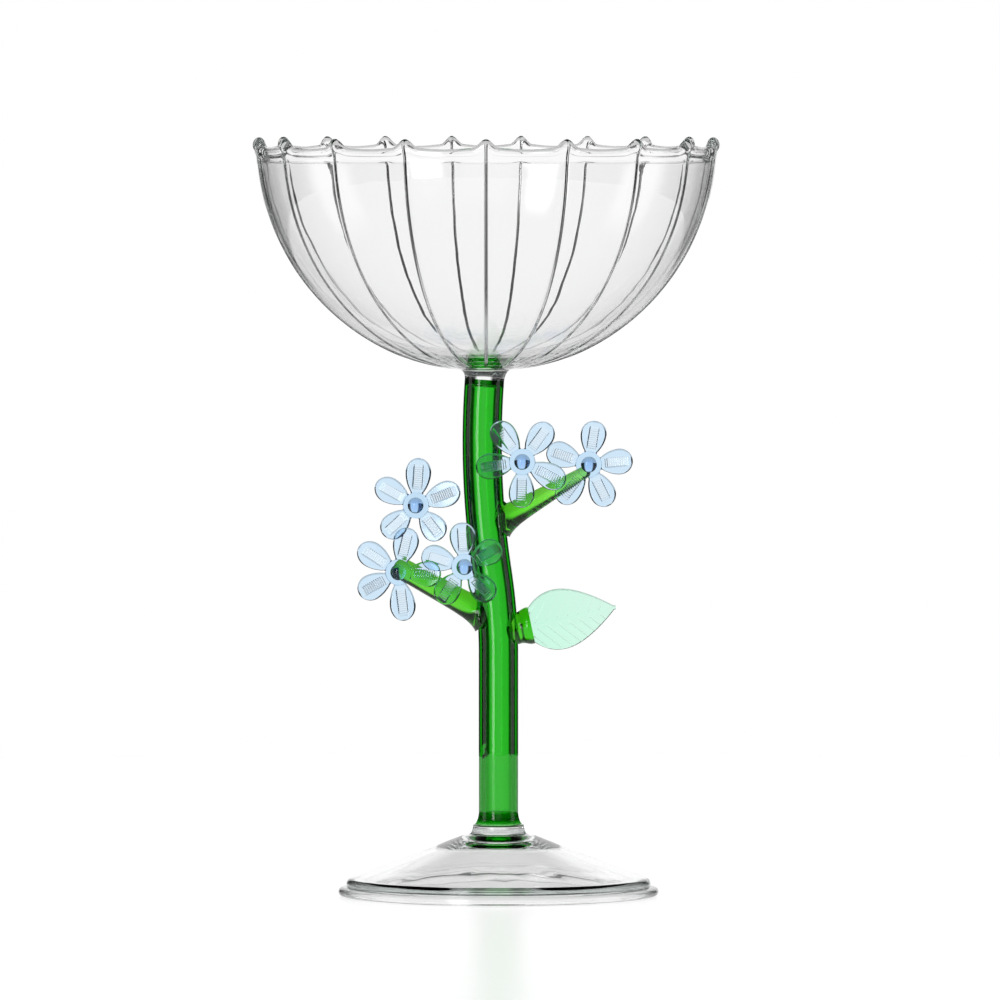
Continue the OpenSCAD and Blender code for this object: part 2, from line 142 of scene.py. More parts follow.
def slab(edge=12, flat=34):
    """Three numbers for each corner of a slab's section, a flat plate with round edges: c and s of the
    round edge, and f, which runs from 1 at one edge to -1 at the other. The corner lies at half thickness
    times s, and at f times (half width - half thickness) plus half thickness times c."""
    quarter = np.radians(np.linspace(0, 90, edge + 1))
    over = np.linspace(1, -1, flat + 1)[1:-1]
    level, one = np.zeros(flat - 1), np.ones(flat - 1)
    rise, fall = np.sin(quarter), np.cos(quarter)
    c = np.concatenate([fall, level, -rise, -fall[1:], level, rise[:-1]])
    s = np.concatenate([rise, one, fall, -rise[1:], -one, -fall[:-1]])
    f = np.concatenate([np.ones(edge + 1), over, -np.ones(2 * edge + 1), -over, np.ones(edge)])
    return c, s, f


def lathe(outline, around=192, centre=(0, 0)):
    """Rings of the outline (radius, height), in mm, turned round the upright line through centre."""
    a = np.radians(np.arange(around) * 360 / around)
    r, z = outline[:, :1], outline[:, 1:]
    return np.stack([centre[0] + r * np.cos(a), centre[1] + r * np.sin(a), z + 0 * a], -1) * MM


# %% [markdown]
# ## The foot
#
# The foot is a straight cone with a thin brim, spun from a gather of clear glass, and hollow below with a
# domed roof. It stands on a narrow flat ring under the brim. The dark lines in it are only the brim, the
# shoulder and the roof of the hollow bending the light.

# %% Foot and foot collar
foot_low, foot_high = (np.array(corner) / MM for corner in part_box("foot"))
foot_r = (foot_high[0] - foot_low[0]) / 2
foot_top = foot_high[2]
FOOT_SLOPE_DEGREES = 21.0
FOOT_SLOPE = np.tan(np.radians(FOOT_SLOPE_DEGREES))
FOOT_EDGE_H = 3.1
FOOT_WALL = 1.6 / np.cos(np.radians(FOOT_SLOPE_DEGREES))
FOOT_BRIM_W = 1.9
FOOT_CORNER_R = 1.5
FOOT_LIP_R = 1.0
FOOT_REST_W = 1.0
FOOT_DOME_R = 45.0
FOOT_REST_BEND_R = 0.5
HOLLOW_BEND_R = 1.0
HOLLOW_BEND_DROP = 0.65
NECK_R = 8.3
NECK_STEP = 0.9
NECK_FALL = 0.6
TOUCH = 0.004


def cone_z(r):
    """Height of the cone's outer line over the table at radius r."""
    return FOOT_EDGE_H + (foot_r - r) * FOOT_SLOPE


def foot_outline():
    """From the roof of the hollow out to the brim, round it, over the shoulder, up the cone and in over the
    neck. Each arc starts where the line before it ends."""
    slope = FOOT_SLOPE_DEGREES
    shoulder_r = foot_r - FOOT_BRIM_W
    bend_r = shoulder_r - FOOT_CORNER_R
    bend_z = cone_z(bend_r) - FOOT_CORNER_R / np.cos(np.radians(slope))
    rest_in = foot_r - FOOT_LIP_R - FOOT_REST_W
    inside_r = rest_in - FOOT_REST_BEND_R
    hollow_r = inside_r - HOLLOW_BEND_R
    roof_z = cone_z(0) - FOOT_WALL - FOOT_DOME_R / np.cos(np.radians(slope))
    roof = arc((0, roof_z), FOOT_DOME_R, 89.95, 90 - slope, 48)
    hollow_bend_z = cone_z(inside_r) - FOOT_WALL - HOLLOW_BEND_DROP
    brim = arc((foot_r - FOOT_LIP_R, FOOT_LIP_R), FOOT_LIP_R, -90, 84, 24)
    shoulder = arc((bend_r, bend_z), FOOT_CORNER_R, -20, 90 - slope, 16)
    cone_start_r = shoulder[-1][0] - 0.5
    cone_end_r = NECK_R + NECK_FALL
    return np.vstack([
        roof,
        straight(roof[-1], (hollow_r, cone_z(hollow_r) - FOOT_WALL), 12)[1:],
        arc((hollow_r, hollow_bend_z), HOLLOW_BEND_R, 70, 0, 6)[1:],
        arc((rest_in, FOOT_REST_BEND_R), FOOT_REST_BEND_R, 180, 270, 8),
        straight((rest_in, 0), (foot_r - FOOT_LIP_R, 0), 2)[1:-1],
        brim,
        straight(brim[-1], shoulder[0], 5)[1:-1],
        shoulder,
        straight((cone_start_r, cone_z(cone_start_r)), (cone_end_r, cone_z(cone_end_r)), 40),
        [(NECK_R, foot_top)],
        straight((NECK_R - NECK_STEP, foot_top), (AXIS_R, foot_top), 5),
    ])


make_piece("spun_foot", "foot", "clear_glass", skin(lathe(foot_outline(), 256), melted=range(-6, 0)))

FOOT_COLLAR_H = 2.0
STEM_R = 4.75
STEM_FLARE = 1.45


def collar_outline():
    """A concave quarter flare from the neck up to the flared end of the stem."""
    r0, r1 = NECK_R - NECK_STEP, STEM_R + STEM_FLARE
    a = np.radians(np.linspace(0, 90, 12))
    side = np.stack([r0 + (r1 - r0) * np.sin(a), foot_top + FOOT_COLLAR_H * (1 - np.cos(a))], -1)
    outline = np.vstack([straight((AXIS_R, foot_top), side[0], 4)[:-1], side,
                         straight(side[-1], (AXIS_R, side[-1][1]), 4)[1:]])
    return outline + np.where(outline[:, 1:] < foot_top + 1, (0, TOUCH), (0, -TOUCH))


make_piece("foot_seal", "foot_collar", "clear_glass", skin(lathe(collar_outline(), 96), melted=range(-5, 5)))

# %% [markdown]
# ## The stem
#
# The stem is a drawn tube of green glass, bent twice by hand: it stands upright, leans to the left, and
# comes back past the upright just under the bowl. A curve with a bevel would make the tube, but not the
# flare at its foot or the sealed ends of its bore, so both walls are carried along the centre line here.

# %% The stem's centre line
STEM_H = 107.3
stem_base = foot_top + FOOT_COLLAR_H
stem_top = stem_base + STEM_H
STEM_LEAN = np.radians(8.25)
STEM_TILT = np.radians(4.2)
LOW_BEND_R = 128.0
MID_STRAIGHT = 3.1
HIGH_BEND_R = 206.0
high_z = stem_top - HIGH_BEND_R * (np.sin(STEM_LEAN) + np.sin(STEM_TILT))
mid_z = high_z - MID_STRAIGHT * np.cos(STEM_LEAN)
low_z = mid_z - LOW_BEND_R * np.sin(STEM_LEAN)
mid_x = -LOW_BEND_R * (1 - np.cos(STEM_LEAN))
high_x = mid_x - MID_STRAIGHT * np.sin(STEM_LEAN)


def stem_turn(z):
    """Lean to the right at height z, in radians: none, then an arc to the left, a straight, and an arc
    back."""
    z = np.asarray(z, float)
    low = -np.arcsin(np.clip((z - low_z) / LOW_BEND_R, 0, np.sin(STEM_LEAN)))
    back = (np.clip(z, high_z, stem_top) - high_z) / HIGH_BEND_R
    return np.where(z < high_z, low, -np.arcsin(np.sin(STEM_LEAN) - back))


def stem_x(z):
    """X of the centre line at height z, the same arcs and straight written as circles and a slope."""
    z = np.asarray(z, float)
    turn = stem_turn(z)
    bend = -LOW_BEND_R * (1 - np.cos(turn))
    slope = mid_x - (z - mid_z) * np.tan(STEM_LEAN)
    back = high_x - HIGH_BEND_R * (np.cos(turn) - np.cos(STEM_LEAN))
    return np.where(z < mid_z, bend, np.where(z < high_z, slope, back))


def along_stem(heights, radii, around=96):
    """Rings of the given radii at the given heights, each square to the centre line."""
    a = np.radians(np.arange(around) * 360 / around)
    z, r = np.asarray(heights, float)[:, None], np.asarray(radii, float)[:, None]
    turn, u = stem_turn(z), r * np.cos(a)
    return np.stack([stem_x(z) + u * np.cos(turn), r * np.sin(a) + 0 * z, z - u * np.sin(turn)], -1) * MM


stem_top_x = float(stem_x(stem_top))
print("stem: from", round(stem_base, 2), "to", round(stem_top, 2), "mm, top at x", round(stem_top_x, 3))

# %% [markdown]
# The tube's foot flares over the collar, where it was pressed on hot. Its bore is sealed at both ends,
# with round corners, because melted glass closes in a dome.

# %% Stem walls
STEM_WALL = 1.6
STEM_FLARE_H = 3.6
STEM_FLOOR = 2.6
STEM_ROOF = 0.9
STEM_EDGE_R = 0.35
BORE_BEND_R = 0.8


def stem_outer():
    """Rings of the outer wall: a flat end, a round edge, a concave flare, the tube and a flat end."""
    a = np.radians(np.linspace(0, 90, 14))
    wide = STEM_R + STEM_FLARE
    flare_z = stem_base + STEM_EDGE_R + (STEM_FLARE_H - STEM_EDGE_R) * (1 - np.cos(a))
    flare_r = wide - STEM_FLARE * np.sin(a)
    edge = arc((wide - STEM_EDGE_R, STEM_EDGE_R), STEM_EDGE_R, -90, 0, 6)
    z = np.concatenate([[stem_base] * 3, stem_base + edge[:, 1], flare_z[1:],
                        np.linspace(stem_base + STEM_FLARE_H, stem_top, 120)[1:], [stem_top] * 2])
    r = np.concatenate([[AXIS_R, 2, 4], edge[:, 0], flare_r[1:], np.full(119, STEM_R), [2, AXIS_R]])
    return along_stem(z, r)


def stem_bore():
    """Rings of the bore, a tube with a rounded floor and roof."""
    r = STEM_R - STEM_WALL
    low, high = stem_base + STEM_FLOOR, stem_top - STEM_ROOF
    a = np.radians(np.linspace(0, 90, 9))
    bend = BORE_BEND_R
    z = np.concatenate([low + bend * (1 - np.cos(a)), np.linspace(low + bend, high - bend, 120)[1:-1],
                        high - bend * (1 - np.sin(a))])
    radius = np.concatenate([r * np.sin(a) + 0.02, np.full(118, r), r * np.cos(a) + 0.02])
    return along_stem(z, radius)


make_piece("drawn_stem", "stem_tube", "green_glass", skin(stem_outer(), melted=range(-3, 4)),
           skin(stem_bore(), inward=True))

# %% [markdown]
# ## The bowl
#
# The bowl was blown into a ribbed mould, so nineteen thin ribs run up its outside, and its rim was
# warmed and tooled into a crest over each rib. It is half of an ellipsoid with a second wall inside it.
# One net of rings covers everything: out from the pad under the bowl, up the outside, over the thick
# lip and down the inside. Columns crowd together at the ribs, so that each rib is a smooth round ridge.

# %% Bowl sizes
BOWL_R = 55.3
BOWL_DEPTH = 55.0
BOWL_H = 53.2
BOWL_WALL = 1.3
BOWL_FLOOR = 2.2
BOWL_SHIFT = 0.4
BOWL_COLLAR_H = 2.4
BOWL_COLLAR_FLARE = 1.75
FLOOR_SPREAD = 40
LIP_W = 2.1
LIP_START, LIP_END = -42, 222
RIBS = 19
RIB_H = 0.36
RIB_W = 0.8
RIB_DRIFT = 4.0
CREST_H = 2.0
CREST_FLARE = 0.58
CREST_SWELL = 0.42
CREST_HALF = 0.17
SAG = 0.2
CURL_TURN = 7.0
bowl_x = stem_top_x + BOWL_SHIFT
bowl_base = stem_top + BOWL_COLLAR_H
pad_r = STEM_R + BOWL_COLLAR_FLARE + 0.4
pad_turn = np.degrees(np.arcsin(pad_r / BOWL_R))
bowl_centre = bowl_base + BOWL_DEPTH * np.cos(np.radians(pad_turn))
rim_turn = np.degrees(np.arccos((bowl_centre - bowl_base - BOWL_H) / BOWL_DEPTH))


# %% Bowl net
def rib_columns(edge):
    """Places round one gap between ribs, from 0 at a rib to 1 at the next, crowded near the rib."""
    near = np.linspace(-1, 1, 9) * edge
    t = np.linspace(0, 1, 23)[1:-1]
    far = edge + (1 - 2 * edge) * (t - 0.1 * np.sin(2 * np.pi * t))
    return np.concatenate([near, far], -1)


def bowl_rows():
    """For each ring of the net: turn up the ellipsoid, offset from the outer face, share of the rib, and the
    way out and up in which the lip swells at a crest."""
    lip_turn = np.degrees(np.arcsin(LIP_W / 2 / BOWL_R))
    lip_centre = rim_turn - lip_turn
    wall_top = lip_centre - 1.6 * lip_turn
    t = np.linspace(0, 1, 64)
    out_turn = pad_turn + (wall_top - pad_turn) * t
    outer = np.stack([out_turn, 0 * t, np.minimum(1, 5 * t), 0 * t, 0 * t], -1)
    a = np.radians(np.linspace(LIP_START, LIP_END, 21))
    lip = np.stack([lip_centre + lip_turn * np.sin(a), LIP_W / 2 * np.cos(a) - BOWL_WALL / 2,
                    0.9 * np.clip(np.cos(a), 0, 1), np.cos(a), np.sin(a)], -1)
    in_turn = wall_top + (0.6 - wall_top) * np.linspace(0, 1, 56)
    growth = (BOWL_FLOOR - BOWL_WALL) * np.clip(1 - in_turn / FLOOR_SPREAD, 0, None) ** 2
    inner = np.stack([in_turn, -BOWL_WALL - growth, 0 * in_turn, 0 * in_turn, 0 * in_turn], -1)
    return np.vstack([outer, lip, inner])


def bowl_rings():
    """r = (bowl_r + out) sin(turn), z = centre - (depth + out) cos(turn). A crest at each rib, a squared
    cosine on a shallow wave, lifts, flares and thickens the last degrees below the rim; each rib is a
    cosine ridge on the outside."""
    turn, out, rib, swell_out, swell_up = (column[:, None] for column in bowl_rows().T)
    round_length = 2 * np.pi * BOWL_R * np.sin(np.radians(np.maximum(turn, pad_turn)))
    half = RIB_W / 2 * RIBS / round_length
    u = rib_columns(half)
    phase = np.tile(u, RIBS)
    phi = (phase + np.repeat(np.arange(RIBS), u.shape[1])) * 2 * np.pi / RIBS
    theta = phi + np.radians(RIB_DRIFT) * np.sin(phi)
    from_rib = phase - np.round(phase)
    ridge = np.where(np.abs(phase) < half, 0.5 + 0.5 * np.cos(np.pi * phase / half), 0)
    bump = np.where(np.abs(from_rib) < CREST_HALF, np.cos(np.pi / 2 * from_rib / CREST_HALF) ** 2, 0)
    crest = SAG * (1 + np.cos(2 * np.pi * phase)) / 2 + (1 - SAG) * bump
    curl = np.clip((turn - rim_turn + CURL_TURN) / CURL_TURN, 0, 1) ** 2
    out = out + RIB_H * rib * ridge
    s, c = np.sin(np.radians(turn)), np.cos(np.radians(turn))
    lift = crest * curl
    r = (BOWL_R + out) * s + (CREST_FLARE + CREST_SWELL * swell_out) * lift
    z = bowl_centre - (BOWL_DEPTH + out) * c + (CREST_H + CREST_SWELL * swell_up) * lift
    rings = np.stack([bowl_x + r * np.sin(theta), -r * np.cos(theta), z], -1)
    return rings * MM


def pad_rings(first):
    """Flat rings from the middle of the pad under the bowl out to the first ring of its side."""
    share = np.array([0.01, 0.5, 1])[:, None, None] * (STEM_R + BOWL_COLLAR_FLARE) / pad_r
    middle = first.mean(0)
    return middle + (first - middle) * share


bowl_side = bowl_rings()
bowl_net = np.concatenate([pad_rings(bowl_side[0]), bowl_side])
make_piece("blown_bowl", "bowl", "clear_glass", skin(bowl_net, melted=range(3)))

# %% [markdown]
# The button between stem and bowl starts square to the leaning stem and ends level under the bowl, so
# its rings turn from one plane to the other on the way.

# %% Bowl collar
def bowl_collar_rings(around=96):
    """Rings from the stem's top to the bowl's base: the radius follows a quarter arc outwards, and the
    plane and the centre go from the stem's to the bowl's."""
    quarter = np.radians(np.concatenate([[0, 0], np.linspace(0, 90, 16), [90, 90]]))[:, None]
    scale = np.concatenate([[0.01, 0.6], np.ones(16), [0.6, 0.01]])[:, None]
    a = np.radians(np.arange(around) * 360 / around)
    t = np.sin(quarter)
    r = (STEM_R + BOWL_COLLAR_FLARE * (1 - np.cos(quarter))) * scale
    x = stem_top_x + BOWL_COLLAR_H * np.tan(STEM_TILT) * t
    u = r * np.cos(a)
    z = stem_top + TOUCH + (BOWL_COLLAR_H - 2 * TOUCH) * t - u * np.tan(STEM_TILT) * (1 - t)
    return np.stack([x + u, r * np.sin(a) + 0 * t, z], -1) * MM


make_piece("bowl_seal", "bowl_collar", "clear_glass", skin(bowl_collar_rings(), melted=range(-3, 3)))

# %% [markdown]
# ## Branches and the leaf's knob
#
# The branches and the knob were melted onto the stem from the side. Each is a rod whose first ring lies
# on the stem's round wall, with a fillet where the hot glass flowed out, and the whole rod is one
# function of its radius along its length.

# %% Rods that grow from the stem
ROD_GAP = 0.03
CLEARANCE = 0.02


def cut_to_stem(origin, direction, offset):
    """Distance along direction at which origin + offset reaches the stem's wall: the sideways distance
    from the centre line there is the square root of R^2 - y^2."""
    side = np.sign(direction[0])
    lean = np.tan(stem_turn(origin[2]))
    across = side * (offset[..., 0] - lean * offset[..., 2])
    speed = side * (direction[0] - lean * direction[2])
    y = np.clip(offset[..., 1] + origin[1], -0.98 * STEM_R, 0.98 * STEM_R)
    return (np.sqrt(STEM_R ** 2 - y ** 2) + ROD_GAP - across) / speed


def rod_rings(root_z, direction, radius, length, rows=60, around=64):
    """Rings square to direction, from the stem's wall to the round tip; radius is a function of the
    distance from the centre line."""
    origin = np.array([float(stem_x(root_z)), 0, root_z])
    direction = np.array(direction) / np.linalg.norm(direction)
    up = np.cross(direction, (0, 1, 0)) * -np.sign(direction[0])
    front = np.cross(direction, up)
    a = np.radians(np.arange(around) * 360 / around)
    spoke = np.cos(a)[:, None] * up + np.sin(a)[:, None] * front
    root_r = radius(STEM_R)
    seat = np.array([0.01, 0.4, 0.75, 0.93, 1])[:, None, None] * root_r * spoke
    seat_s = cut_to_stem(origin, direction, seat)
    first = seat[-1], seat_s[-1]
    tip_r = radius(length)
    s = np.linspace(0, 1, rows)[1:, None]
    body_s = first[1] * (1 - s) + length * s
    body = radius(body_s)[..., None] * spoke
    q = np.radians(np.linspace(0, 89, 14))[1:, None]
    tip_s = length + tip_r * np.sin(q) + 0 * a
    tip = (tip_r * np.cos(q))[..., None] * spoke
    offset = np.concatenate([seat, body, tip])
    distance = np.concatenate([seat_s, body_s, tip_s])
    return origin + offset + distance[..., None] * direction


# %% [markdown]
# A branch's tip is pressed flat against the back of a flower. Points that would pass the flower's back
# are laid onto it.

# %% Flower places
def turned(face):
    """Axes of a flower as columns: its right, its up and its front, for a face turned and nodding."""
    turn, nod = np.radians(face)
    right = np.array([np.cos(turn), np.sin(turn), 0])
    front = np.array([np.sin(turn) * np.cos(nod), -np.cos(turn) * np.cos(nod), -np.sin(nod)])
    return np.stack([right, np.cross(front, right), front], -1)


LETTERS = "abcde"
FACES = {"a": (-8, -3), "b": (-4, 0), "c": (2, 0), "d": (-2.5, 0), "e": (3, 0)}
DISC_T = 1.5


def flower_centre(letter):
    """Middle of the flower's CAD disc, in mm."""
    low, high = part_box(f"flower_{letter}_disc")
    return (np.array(low) + np.array(high)) / 2 / MM


def laid_on(points, letter):
    """Points in front of the flower's back plane, moved straight back onto it."""
    front = turned(FACES[letter])[:, 2]
    past = (points - flower_centre(letter)) @ front + DISC_T / 2 + CLEARANCE
    return points - np.clip(past, 0, None)[..., None] * front


# %% Branches
BRANCH_DROP = {"upper": 36.0, "lower": 58.2}
BRANCH_RISE = {"upper": 30.3, "lower": 29.2}
BRANCH_FRONT = {"upper": 3.0, "lower": 1.0}
BRANCH_SIDE = {"upper": 1, "lower": -1}
BRANCH_L = {"upper": 27.1, "lower": 25.7}
BRANCH_ROOT_R = {"upper": 3.3, "lower": 3.15}
BRANCH_TIP_R = {"upper": 1.5, "lower": 2.6}
BRANCH_FLOWER = {"upper": "e", "lower": "b"}
FILLET = 0.9
FILLET_FALL = 2.2

for name in ("upper", "lower"):
    rise, forward = np.radians(BRANCH_RISE[name]), np.radians(BRANCH_FRONT[name])
    way = (BRANCH_SIDE[name] * np.cos(rise) * np.cos(forward), -np.cos(rise) * np.sin(forward), np.sin(rise))
    root_r, tip_r, length = BRANCH_ROOT_R[name], BRANCH_TIP_R[name], BRANCH_L[name]

    def branch_radius(s):
        """A straight taper, with a fillet that fades away from the stem."""
        taper = root_r + (tip_r - root_r) * np.asarray(s) / length
        return taper + FILLET * np.exp(-(np.asarray(s) - STEM_R) / FILLET_FALL)

    rod = rod_rings(stem_top - BRANCH_DROP[name], way, branch_radius, length)
    rod = laid_on(rod, BRANCH_FLOWER[name])
    make_piece(f"pulled_branch_{name}", f"branch_{name}", "green_glass", skin(rod * MM))

# %% Leaf knob
KNOB_DROP = 60.7
KNOB_R = 4.5
KNOB_WAIST_R = 3.8
KNOB_REACH = 8.2
KNOB_NOSE = 0.5
LEAF_RISE = np.radians(11.9)
knob_z = stem_top - KNOB_DROP


def knob_radius(s):
    """Wide at both ends, with a shallow cosine waist between."""
    t = np.clip((np.asarray(s) - STEM_R / 2) / (KNOB_REACH - KNOB_NOSE - STEM_R / 2), 0, 1)
    return KNOB_R - (KNOB_R - KNOB_WAIST_R) * (1 - np.cos(2 * np.pi * t)) / 2


def knob_rings():
    """The rod's rings, with the round tip pressed flat at the knob's outer face."""
    way = np.array([np.cos(LEAF_RISE), 0, np.sin(LEAF_RISE)])
    root = np.array([float(stem_x(knob_z)), 0, knob_z])
    rings = rod_rings(knob_z, way, knob_radius, KNOB_REACH - KNOB_NOSE, rows=24)
    past = (rings - root) @ way - KNOB_REACH
    return rings - np.clip(past, 0, None)[..., None] * way


make_piece("leaf_boss", "leaf_knob", "green_glass", skin(knob_rings() * MM))

# %% [markdown]
# ## The leaf
#
# The leaf was pressed flat between cutters that leave a midrib and side veins, and it ends in a small
# nib. Its section is a flat slab with a round edge. The side veins are grooves in both faces: a groove is
# a tiny lens, which is why veins show as fine lines in clear glass. The midrib is a low ridge.

# %% Leaf
LEAF_L = 20.7
LEAF_HALF_W = 7.3
LEAF_T = 1.2
LEAF_CURL = 1.5
LEAF_CUT = 0.12
LEAF_TAPER = 0.3
LEAF_CUP = 0.012
NIB = 0.5
VEIN_COUNT = 8
VEIN_SLANT = 0.85
VEIN_START = 0.3
VEIN_DEPTH = 0.06
VEIN_HALF_W = 0.42
MIDRIB_H = 0.03
MIDRIB_HALF_W = 0.55


def leaf_half_width(t):
    """A pointed oval: the sine of 180 u^0.75 to the power 0.9, where the knob cuts off the first part."""
    u = (t + LEAF_CUT) / (1 + LEAF_CUT)
    return np.maximum(NIB, LEAF_HALF_W * np.sin(np.pi * np.clip(u, 0, 1) ** 0.75) ** 0.9)


def groove(distance, width):
    """A round groove: 1 in its middle, falling to 0 as the square of the cosine, over the given width."""
    return np.where(np.abs(distance) < width, np.cos(np.pi * distance / 2 / width) ** 2, 0)


def leaf_rings(rows=150):
    """Slab sections across the leaf. The midrib is a ridge, and the side veins are grooves that slant
    forwards from it, evenly spaced along the leaf."""
    t = np.linspace(0, 1, rows)[:, None]
    c, s, f = slab(10, 44)
    thick = np.minimum(LEAF_T / 2 * (1 - LEAF_TAPER * t), leaf_half_width(t))
    v = (leaf_half_width(t) - thick) * f + thick * c
    flat = np.abs(s) ** 2
    slant = t - VEIN_SLANT * np.abs(v) / LEAF_L
    phase = (slant * VEIN_COUNT + VEIN_START) % 1 - 0.5
    side_vein = groove(phase / VEIN_COUNT * LEAF_L, VEIN_HALF_W) * smooth((np.abs(v) - 0.3) / 0.8)
    midrib = groove(v, MIDRIB_HALF_W) * smooth((1 - t) / 0.2)
    half = thick - VEIN_DEPTH * side_vein * flat * smooth((1 - t) / 0.15) + MIDRIB_H * midrib
    bend = LEAF_CURL * t * t + LEAF_CUP * v * v
    return np.stack([KNOB_REACH + CLEARANCE + LEAF_L * t + 0 * v, bend + half * s, v], -1)


def at_knob(local):
    """Leaf coordinates, X along the midrib and Z across it, turned up by the leaf's rise at the knob."""
    c, s = np.cos(LEAF_RISE), np.sin(LEAF_RISE)
    x = float(stem_x(knob_z)) + c * local[..., 0] - s * local[..., 2]
    z = knob_z + s * local[..., 0] + c * local[..., 2]
    return np.stack([x, local[..., 1], z], -1)


make_piece("pressed_leaf", "leaf", "leaf_glass", skin(at_knob(leaf_rings())[:, ::-1] * MM))

# %% [markdown]
# ## The flowers
#
# Each flower is a pale blue disc with five petals melted to its edge and a bead in its eye. A petal was
# squeezed with a jaw tool: two creases run along it, and the band between them is crimped across, like a
# tiny washboard. How hard the jaw closed differs from petal to petal.

# %% Flower sizes
DISC_R = 3.1
BEAD_R = 2.0
BEAD_SINK = 0.6
PETAL_T = 1.2
PETAL_HALF_W = 3.1
PETAL_WAIST = 1.5
PETAL_CURL = 0.7
WIDEST = 0.58
PETAL_GAP = 0.025
ROOT_R = DISC_R + PETAL_GAP
SPINS = {
    "a": (86, 21, -51, -137, 151),
    "b": (76, -3, -82.6, -151, 147),
    "c": (93.5, 30.8, -49.8, -125.7, 162.7),
    "d": (124.9, 54, -27, -91.2, 188),
    "e": (80.9, 5.6, -63.8, -127.6, 160.3),
}
LENGTHS = {
    "a": (11.4, 11.4, 10.2, 10.6, 11),
    "b": (11, 10.3, 11.7, 10.8, 11.3),
    "c": (10.7, 10.2, 10.3, 10.4, 10.7),
    "d": (11.4, 11.3, 11.5, 11, 11.2),
    "e": (10.6, 10.6, 11, 11.5, 10.7),
}
CRIMPS = {
    "a": (0.5, 0.5, 0.3, 0.1, 0.1),
    "b": (0.3, 1, 0.4, 1, 0.2),
    "c": (0.2, 1, 1, 1, 0.2),
    "d": (0.2, 0.3, 1, 1, 1),
    "e": (0.4, 0.2, 0.4, 1, 0.3),
}
CRIMP_PITCH = 0.52
CRIMP_DEPTH = 0.1
BAND_HALF_W = 1.15
BAND_DEPTH = 0.2


# %% Petals
def petal_half_width(t):
    """From the waist a sine rise to the widest place, then half an ellipse to the tip."""
    rise = PETAL_WAIST + (PETAL_HALF_W - PETAL_WAIST) * np.sin(np.pi / 2 * np.clip(t / WIDEST, 0, 1)) ** 0.8
    rest = PETAL_HALF_W * np.sqrt(np.clip(1 - ((t - WIDEST) / (1 - WIDEST)) ** 2, 0, 1))
    return np.where(t < WIDEST, rise, rest)


def petal_rings(length, crimp, rows=130):
    """Slab sections across the petal, crowded towards the tip. The band between the creases is pressed in on
    both faces, and its front and back carry ripples across the petal."""
    s = np.linspace(0, 1, rows)[:, None]
    tip = np.clip((s - 0.85) / 0.15, 0, 1)
    t = np.where(s < 0.85, s / 0.85 * 0.9, 0.9 + 0.0995 * np.sin(np.pi / 2 * tip))
    c, side, f = slab(9, 36)
    shell = PETAL_T / 2 * np.sqrt(np.clip(1 - np.clip((t - 0.93) / 0.07, 0, 1) ** 2, 0.01, 1))
    thick = np.minimum(shell, petal_half_width(t))
    v = (petal_half_width(t) - thick) * f + thick * c
    along = (length - ROOT_R) * t
    fade = smooth((t - 0.02) / 0.2) * smooth((0.92 - t) / 0.25)
    band = smooth((BAND_HALF_W - np.abs(v)) / 0.2 + 0.5) * fade
    ripple = np.sin(2 * np.pi * along / CRIMP_PITCH) * crimp
    half = thick - BAND_DEPTH * band + CRIMP_DEPTH * ripple * band
    root = np.where(s == 0, np.sqrt(ROOT_R ** 2 - np.clip(v, -ROOT_R, ROOT_R) ** 2) - ROOT_R, 0)
    return np.stack([ROOT_R + along + root, v, half * side + PETAL_CURL * t * t], -1)


def at_flower(letter, local, spin=0):
    """Flower coordinates, spun round its own axis, to the glass's millimetres."""
    c, s = np.cos(np.radians(spin)), np.sin(np.radians(spin))
    x, y = c * local[..., 0] - s * local[..., 1], s * local[..., 0] + c * local[..., 1]
    return flower_centre(letter) + np.stack([x, y, local[..., 2]], -1) @ turned(FACES[letter]).T


for letter in LETTERS:
    for k, (spin, length, crimp) in enumerate(zip(SPINS[letter], LENGTHS[letter], CRIMPS[letter]), 1):
        rings = at_flower(letter, petal_rings(length, crimp), spin)
        petal = skin(rings * MM, melted=[0])
        make_piece(f"petal_{letter}{k}", f"flower_{letter}_petal_{k}", "petal_glass", petal, sharp_angle=80)

# %% Discs and beads
BEAD_SEAT_R = (BEAD_R ** 2 - BEAD_SINK ** 2) ** 0.5
DISC_EDGE_R = 0.06
MIDDLE_R = 0.03


def disc_rings():
    """A flat button with round edges. Its front has a ring where the bead's edge stands."""
    r = DISC_EDGE_R
    half = DISC_T / 2
    outline = np.vstack([straight((MIDDLE_R, -half), (DISC_R - r, -half), 4),
                         arc((DISC_R - r, -half + r), r, -90, 0, 8)[1:],
                         arc((DISC_R - r, half - r), r, 0, 90, 8),
                         straight((BEAD_SEAT_R, half), (MIDDLE_R, half), 3)])
    return lathe(outline, 72) / MM


def bead_rings():
    """A ball that sits on the disc, cut off by a flat face."""
    centre = DISC_T / 2 - BEAD_SINK
    low = np.degrees(np.arcsin(BEAD_SINK / BEAD_R))
    ball = arc((0, centre), BEAD_R, low, 89.5, 24) + (0, CLEARANCE)
    seat_z = DISC_T / 2 + CLEARANCE
    seat = straight((MIDDLE_R, seat_z), (ball[0][0], seat_z), 3)
    return lathe(np.vstack([seat[:-1], ball]), 64) / MM


for letter in LETTERS:
    disc = skin(at_flower(letter, disc_rings()) * MM, melted=[13, -4, -3, -2, -1])
    bead = skin(at_flower(letter, bead_rings()) * MM, melted=range(4))
    make_piece(f"disc_{letter}", f"flower_{letter}_disc", "petal_glass", disc)
    make_piece(f"bead_{letter}", f"flower_{letter}_bead", "bead_glass", bead)

# %% [markdown]
# ## Finishes
#
# Shader maths reads best as Python, so one small class wraps a socket, and an expression on values adds
# the Math nodes. Any other node comes from one method: its settings first, then its inputs.

